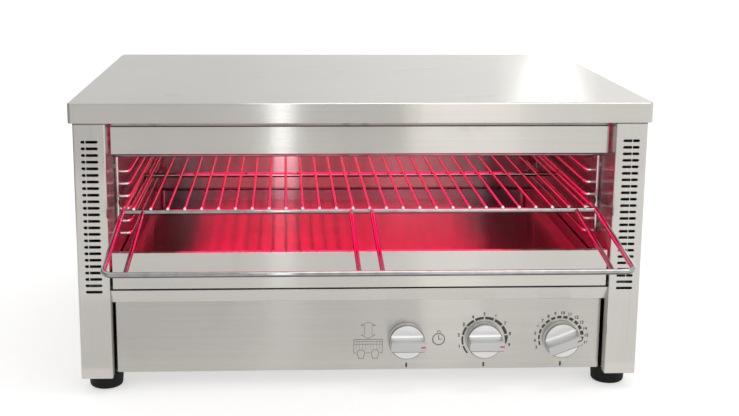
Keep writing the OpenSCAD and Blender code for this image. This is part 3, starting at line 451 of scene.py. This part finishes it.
dress = {
    "sheet_x": ("top_cover", "upper_fascia", "front_mid_rail", "front_top_rail", "rear_top_rail",
                "back_panel", "tray_front"),
    "panel": ("control_panel",),
    "sheet_z": ("side_panel_left", "side_panel_right"),
    "baffle": ("side_baffles",),
    "inside": ("base_pan", "chamber_deck", "cap_retainers", "tray_runner_left", "tray_runner_right",
               "ladder_clips"),
    "liner": ("chamber_back",),
    "side_wall": ("chamber_wall_left", "chamber_wall_right"),
    "pan": ("tray_pan",),
    "roof": ("chamber_roof",),
    "wire": ("ladder_uprights_left", "ladder_uprights_right"),
    "bar": ("rack_frame", "rack_cross_rods"),
    "hot": ("element_guard",),
    "runner": ("ladder_runners_left", "ladder_runners_right"),
    "grid": ("rack_wires",),
    "arm": ("handle_arms",),
    "zinc": ("selector_shaft", "heat_shaft", "timer_shaft", "timer_movement", "bush_nuts", "foot_screws",
             "foot_nuts", "back_panel_screws", "control_panel_screws", "cover_screws"),
    "brass": ("earth_stud",),
    "knob": ("selector_knob", "heat_knob", "timer_knob"),
    "rubber": ("foot_front_left", "foot_front_right", "foot_rear_left", "foot_rear_right"),
    "black": ("selector_switch", "cable_gland", "gland_nut"),
    "cream": ("heat_regulator",),
    "white": ("terminal_block",),
    "sleeve": ("wiring_loom",),
    "ceramic": ("ceramic_caps_left", "ceramic_caps_right"),
    "fibre": ("insulation_blanket",),
    "tube": ("quartz_tubes",),
    "coil": ("heating_coils",),
}
for finish, names in dress.items():
    for name in names:
        for slot in nodes[name].material_slots:
            slot.link = "OBJECT"
            slot.material = mats[finish]


# ---------------------------------------------------------------- small mesh kit
def mesh_from(name, bm):
    mesh = bpy.data.meshes.new(name)
    bm.to_mesh(mesh)
    bm.free()
    return mesh


def piece(name, bm, finish, body):
    """One piece of the object, made of closed plates, that rides on a body."""
    bmesh.ops.remove_doubles(bm, verts=bm.verts, dist=1e-7)
    bmesh.ops.recalc_face_normals(bm, faces=bm.faces)
    mesh = mesh_from(name, bm)
    mesh.materials.append(mats[finish])
    obj = bpy.data.objects.new(name, mesh)
    scene.collection.objects.link(obj)
    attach(obj, body)


def add_prism(bm, outline, face_y, thick):
    """Closed plate with its outline given in X and Z, from face_y towards the front."""
    back = [bm.verts.new((x, face_y, z)) for x, z in outline]
    front = [bm.verts.new((x, face_y - thick, z)) for x, z in outline]
    bm.faces.new(back)
    bm.faces.new(front[::-1])
    for i in range(len(outline)):
        j = (i + 1) % len(outline)
        bm.faces.new((back[i], back[j], front[j], front[i]))


def on_circle(cx, cz, r, angle):
    """Point on a circle at an angle in degrees."""
    return cx + r * math.cos(math.radians(angle)), cz + r * math.sin(math.radians(angle))


def crescent_outline(cx, cz, r, width, a0, a1, steps=10):
    """Piece of a ring whose width follows width(angle)."""
    turn = [a0 + (a1 - a0) * k / steps for k in range(steps + 1)]
    outer = [on_circle(cx, cz, r + width(a) / 2, a) for a in turn]
    inner = [on_circle(cx, cz, r - width(a) / 2, a) for a in reversed(turn)]
    return outer + inner


def arc_outline(cx, cz, r0, r1, a0, a1, steps):
    """Piece of a ring between two radii."""
    return crescent_outline(cx, cz, (r0 + r1) / 2, lambda angle: r1 - r0, a0, a1, steps)


def box_outline(cx, cz, w, h, turn=0.0):
    c, s = math.cos(math.radians(turn)), math.sin(math.radians(turn))
    corners = ((-w / 2, -h / 2), (w / 2, -h / 2), (w / 2, h / 2), (-w / 2, h / 2))
    return [(cx + c * x - s * z, cz + s * x + c * z) for x, z in corners]


def line_outline(p, q, w):
    (x0, z0), (x1, z1) = p, q
    length = math.hypot(x1 - x0, z1 - z0)
    nx, nz = -(z1 - z0) / length * w / 2, (x1 - x0) / length * w / 2
    return [(x0 + nx, z0 + nz), (x1 + nx, z1 + nz), (x1 - nx, z1 - nz), (x0 - nx, z0 - nz)]


# ---------------------------------------------------------------- print on the panel
PANEL_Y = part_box("control_panel")[0].y
INK = 0.00006                             # how thick the print is
FIGURE_SHARE, FIGURE_WEIGHT = 0.72, 0.00018   # a figure's share of its type size, and its strokes' thickening
FIGURE_R = 0.0306
SCALE_START, SCALE_GROWTH = 0.0018, 0.0024
POINT_END, POINT_LONG = 1.03, 0.11        # where the scale's point would close and how long it is, as shares
INDEX_SHIFT, INDEX_SIZE = (0.0006, -0.0317), (0.0022, 0.0054)

knob_at = {}
for name in ("selector", "heat", "timer"):
    low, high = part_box(name + "_shaft")
    knob_at[name] = ((low.x + high.x) / 2, (low.z + high.z) / 2)


def ink_shape(bm, outline):
    add_prism(bm, outline, PANEL_Y, INK)


def ink_line(bm, p, q, w):
    ink_shape(bm, line_outline(p, q, w))


def ink_loop(bm, points, w):
    """Closed line through the points."""
    for p, q in zip(points, points[1:] + points[:1]):
        ink_line(bm, p, q, w)


def ink_figure(bm, text, cx, cz, height):
    """One printed number, as a thin raised plate on the panel."""
    curve = bpy.data.curves.new("figure", "FONT")
    curve.body = text
    curve.size = height / FIGURE_SHARE
    curve.align_x = "CENTER"
    curve.align_y = "CENTER"
    curve.offset = FIGURE_WEIGHT
    curve.extrude = INK / 2
    obj = bpy.data.objects.new("figure", curve)
    scene.collection.objects.link(obj)
    bpy.context.view_layer.update()
    mesh = bpy.data.meshes.new_from_object(obj.evaluated_get(bpy.context.evaluated_depsgraph_get()))
    mesh.transform(Matrix.Translation((cx, PANEL_Y - INK / 2, cz)) @ Matrix.Rotation(math.pi / 2, 4, "X"))
    bm.from_mesh(mesh)
    bpy.data.objects.remove(obj)
    bpy.data.curves.remove(curve)
    bpy.data.meshes.remove(mesh)


def dial(name, shift, first, last, a0, step, r, gap, height):
    """Crescent that grows along the scale and ends in a point, cut between its numbers."""
    cx, cz = knob_at[name][0] + shift[0], knob_at[name][1] + shift[1]
    bm = bmesh.new()
    whole = step * (last - first)
    trim = math.copysign(gap, step)

    def width(angle):
        share = (angle - a0) / whole
        return (SCALE_START + SCALE_GROWTH * share) * min(1.0, (POINT_END - share) / POINT_LONG)

    for number in range(first, last + 1):
        at = a0 + step * (number - first)
        if number < last:
            ink_shape(bm, crescent_outline(cx, cz, r, width, at + trim, at + step - trim))
        if number:
            ink_figure(bm, str(number), *on_circle(cx, cz, FIGURE_R, at), height)
    piece(name + "_scale", bm, "ink", "case")


def index_mark(name):
    """Short upright mark under a knob."""
    cx, cz = knob_at[name]
    bm = bmesh.new()
    ink_shape(bm, box_outline(cx + INDEX_SHIFT[0], cz + INDEX_SHIFT[1], *INDEX_SIZE))
    piece(name + "_index", bm, "ink", "case")


def stopwatch(cx, cz, r):
    """Symbol of the timer: a ring with its button, two hands and twelve ticks."""
    line = 0.0011
    button_up, button_in, button_out = 0.0009, 0.0014, 0.0023
    long_hand, short_hand, hand_tail = r * 0.62, r * 0.5, 0.0003
    tick_in, tick_out = r * 0.72, r * 0.84
    bm = bmesh.new()
    ink_shape(bm, arc_outline(cx, cz, r - line, r, 0, 359.99, steps=48))
    ink_shape(bm, arc_outline(cx, cz + r + button_up, button_in, button_out, -12, 192, steps=12))
    ink_line(bm, (cx, cz - hand_tail), (cx, cz + long_hand), line)
    ink_line(bm, (cx, cz), (cx + short_hand, cz), line * 0.8)
    for angle in range(0, 360, 30):
        ink_line(bm, on_circle(cx, cz, tick_in, angle), on_circle(cx, cz, tick_out, angle), line * 0.6)
    piece("stopwatch_symbol", bm, "faint", "case")


def cabinet(bm, cx, top, wide, high, line):
    """Open cabinet with two bars and nine columns; its lower side is a broken line."""
    left, right, low = cx - wide / 2, cx + wide / 2, top - high
    ink_line(bm, (left, top), (right, top), line)
    ink_line(bm, (right, top), (right, low), line)
    ink_line(bm, (left, low), (left, top), line)
    for share in (0.16, 0.36):
        z = top - high * share
        ink_line(bm, (left, z), (right, z), line * 0.7)
    for column in range(1, 10):
        x = left + wide * column / 10
        ink_line(bm, (x, top), (x, low + 0.0036), line * 0.45)
    for start, end in ((-0.50, -0.42), (-0.08, 0.08), (0.42, 0.50)):
        ink_line(bm, (cx + wide * start, low), (cx + wide * end, low), line)


def pot(bm, cx, low, line):
    """Six-sided pot across the cabinet's lower side."""
    side = ((0.0024, 0.0036), (0.0045, 0.0008), (0.0028, -0.0066))
    left = [(cx - half, low + up) for half, up in side]
    right = [(cx + half, low + up) for half, up in reversed(side)]
    ink_loop(bm, left + right, line)


def double_arrow(bm, cx, base, tip, line):
    """Upright arrow with a head at both ends."""
    shaft, head = 0.0045, 0.0085
    upper, lower, low_tip = tip - 0.0045, base + 0.0035, base - 0.0010
    outline = [(cx - shaft, lower), (cx - shaft, upper), (cx - head, upper), (cx, tip),
               (cx + head, upper), (cx + shaft, upper), (cx + shaft, lower), (cx + head, lower),
               (cx, low_tip), (cx - head, lower)]
    ink_loop(bm, outline, line)


def element_symbol(cx, cz):
    """Generic symbol for the two ways of heating: a cabinet, two pots at its foot and an arrow over it."""
    line, wide, high = 0.0006, 0.0334, 0.0166
    top = cz + 0.0003
    bm = bmesh.new()
    cabinet(bm, cx, top, wide, high, line)
    for side in (-1, 1):
        pot(bm, cx + side * wide * 0.25, top - high, line)
    double_arrow(bm, cx, top + 0.0020, cz + 0.0218, line * 0.8)
    piece("heating_symbol", bm, "faint", "case")


dial("heat", (0.0009, -0.0006), first=0, last=9, a0=223.0, step=-26.4, r=0.0259, gap=1.9, height=0.0040)
dial("timer", (0.0, 0.0), first=3, last=16, a0=202.0, step=-16.4, r=0.0257, gap=2.5, height=0.0037)
for name in knob_at:
    index_mark(name)
stopwatch(0.0923, knob_at["heat"][1] - 0.0002, 0.0076)
element_symbol(0.0095, knob_at["heat"][1])

# ---------------------------------------------------------------- red marks on the grips
MARK_R, MARK_LONG, MARK_WIDE = 0.0175, 0.0052, 0.0015
MARK_BACK, MARK_THICK = 0.00045, 0.00040


def grip_mark(name, turn):
    """Red mark in the groove at the end of a grip."""
    cx, cz = on_circle(*knob_at[name], MARK_R, turn)
    face_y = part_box(name + "_knob")[0].y
    bm = bmesh.new()
    add_prism(bm, box_outline(cx, cz, MARK_LONG, MARK_WIDE, turn), face_y + MARK_BACK, MARK_THICK)
    piece(name + "_mark", bm, "red", name + "_dial")


for name, turn in (("selector", 0), ("heat", 0), ("timer", 21)):
    grip_mark(name, turn)


# ---------------------------------------------------------------- stage
FLOOR_HALF, FLOOR_DROP = 22, 0.0002


def stage_material(name, colour, strength):
    """Matt ground that takes light and shadow; the camera, gloss and glass see it brighter."""
    g = Graph(name).put(Base_Color=colour, Roughness=0.9)
    bright = g.shine("ShaderNodeEmission", WHITE, strength)
    seen = g.seen()
    nothing = g.shine("ShaderNodeEmission", WHITE, 0)
    add = g.node("ShaderNodeAddShader")
    g.link(g.shader.outputs[0], add.inputs[0])
    g.link(g.mix_shaders(seen, nothing, bright), add.inputs[1])
    g.link(add.outputs[0], g.tree.nodes["Material Output"].inputs["Surface"])
    return g.material


def make_floor():
    bm = bmesh.new()
    bmesh.ops.create_grid(bm, x_segments=1, y_segments=1, size=FLOOR_HALF)
    mesh = mesh_from("floor", bm)
    mesh.materials.append(stage_material("white_floor", (0.72, 0.72, 0.72), 0.50))
    floor = bpy.data.objects.new("floor", mesh)
    floor.location = (0, 0, -FLOOR_DROP)
    scene.collection.objects.link(floor)


def make_world():
    """Soft warm light all round, which the camera, gloss and glass see as white."""
    world = bpy.data.worlds.new("studio")
    scene.world = world
    world.use_nodes = True
    w = Nodes(world.node_tree)
    w.tree.nodes.clear()
    out = w.node("ShaderNodeOutputWorld")
    seen = w.seen()
    soft = w.shine("ShaderNodeBackground", (1.0, 0.99, 0.975), 0.72)
    white = w.shine("ShaderNodeBackground", WHITE, 1.0)
    w.link(w.mix_shaders(seen, soft, white), out.inputs["Surface"])


# ---------------------------------------------------------------- lamps and screens
FRONT_Y, REAR_Y = -1.32, 3.4
SCREEN_LOW, SCREEN_TOP = 0.01, 2.2
FAN_Y, FAN_LOW, FAN_TOP = 0.50, 0.335, 0.66
FLOOR_SCREEN_Z, PATCH_Z = 0.004, 0.006
STRIP_X, BACK_STRIP_X = -0.095, -0.0855   # lamps for the strip of light on the front and in the back wall
BACK_STRIP_DROP = 0.030
back_strip_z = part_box("tray_front")[1].z - BACK_STRIP_DROP


def softbox(name, at, aim, size, power, colour=WHITE):
    data = bpy.data.lights.new(name, "AREA")
    data.shape = "RECTANGLE"
    data.size, data.size_y = size
    data.energy = power
    data.color = colour
    lamp = bpy.data.objects.new(name, data)
    lamp.location = at
    lamp.rotation_euler = (Vector(aim) - Vector(at)).to_track_quat("-Z", "Y").to_euler()
    lamp.visible_camera = False
    scene.collection.objects.link(lamp)
    return lamp


def card(name, corners, low, high):
    """Screen that only what mirrors it can see; its tone runs from low at its left to high at its right."""
    bm = bmesh.new()
    bm.faces.new([bm.verts.new(corner) for corner in corners])
    mesh = mesh_from(name, bm)
    g = Graph(name).put(Base_Color=(0, 0, 0), Roughness=1.0, Emission_Color=WHITE, Specular_IOR_Level=0.0)
    across = [corner[0] for corner in corners]
    g.feed(Emission_Strength=g.spread(g.own_axes()["X"], min(across), max(across), low, high))
    mesh.materials.append(g.material)
    obj = bpy.data.objects.new(name, mesh)
    for ray in ("camera", "diffuse", "transmission", "volume_scatter", "shadow"):
        setattr(obj, "visible_" + ray, False)
    scene.collection.objects.link(obj)


def upright_card(name, left, right, y, low, high):
    card(name, [(left, y, SCREEN_LOW), (right, y, SCREEN_LOW), (right, y, SCREEN_TOP), (left, y, SCREEN_TOP)],
         low, high)


def flat_card(name, left, right, near, far, z, low, high):
    """Screen that lies flat; near is its edge towards the case, and far its edge towards the camera."""
    card(name, [(left, near, z), (right, near, z), (right, far, z), (left, far, z)], low, high)


make_floor()
make_world()
softbox("key", (0.95, -1.35, 0.85), (0.95, 0, 0.85), (1.55, 1.6), 3.9)
softbox("overhead", (0.74, -0.25, 2.2), (0.74, -0.25, 0), (1.6, 0.26), 5.0)
softbox("strip", (STRIP_X, -1.30, 0.75), (STRIP_X, 0, 0.75), (0.038, 1.5), 0.35, (0.92, 0.97, 1.0))
upright_card("front_left", -1.7, -0.114, FRONT_Y, 0.75, 0.75)
upright_card("front_middle", -0.071, 0.17, FRONT_Y, 0.75, 0.75)
upright_card("front_right", 0.40, 0.62, FRONT_Y, 1.22, 0.98)
upright_card("front_far_right", 0.62, 1.80, FRONT_Y, 0.98, 0.98)
upright_card("rear_grade", -0.3, 1.2, REAR_Y, 1.0, 1.4)
upright_card("rear_right", 1.2, 3.5, REAR_Y, 1.4, 1.4)
card("rear_fan", [(0.338, FAN_Y, FAN_LOW), (0.362, FAN_Y, FAN_LOW),
                  (0.46, FAN_Y, FAN_TOP), (0.27, FAN_Y, FAN_TOP)], 2.8, 2.8)
card("bend_line", [(-0.16, -1.05, 1.10), (1.3, -1.05, 1.10), (1.3, -0.40, 1.45), (-0.16, -0.40, 1.45)],
     2.2, 2.7)
flat_card("floor_near", -0.9, 1.1, -0.24, -0.52, FLOOR_SCREEN_Z, 0.78, 1.18)
flat_card("floor_patch", 0.10, 0.18, -0.30, -0.50, PATCH_Z, 1.35, 1.35)
flat_card("floor_far", -1.2, 1.4, -0.52, -1.30, FLOOR_SCREEN_Z, 0.90, 1.22)
back_strip = softbox("back_strip", (BACK_STRIP_X, -0.12, back_strip_z), (BACK_STRIP_X, 0, back_strip_z),
                     (0.043, 0.049), 0.021, (0.85, 1.0, 1.0))
back_strip.visible_diffuse = False
card("left_side", [(-1.02, -0.9, SCREEN_LOW), (-1.0, 1.2, SCREEN_LOW), (-1.0, 1.2, 0.9), (-1.02, -0.9, 0.9)],
     0.42, 0.42)
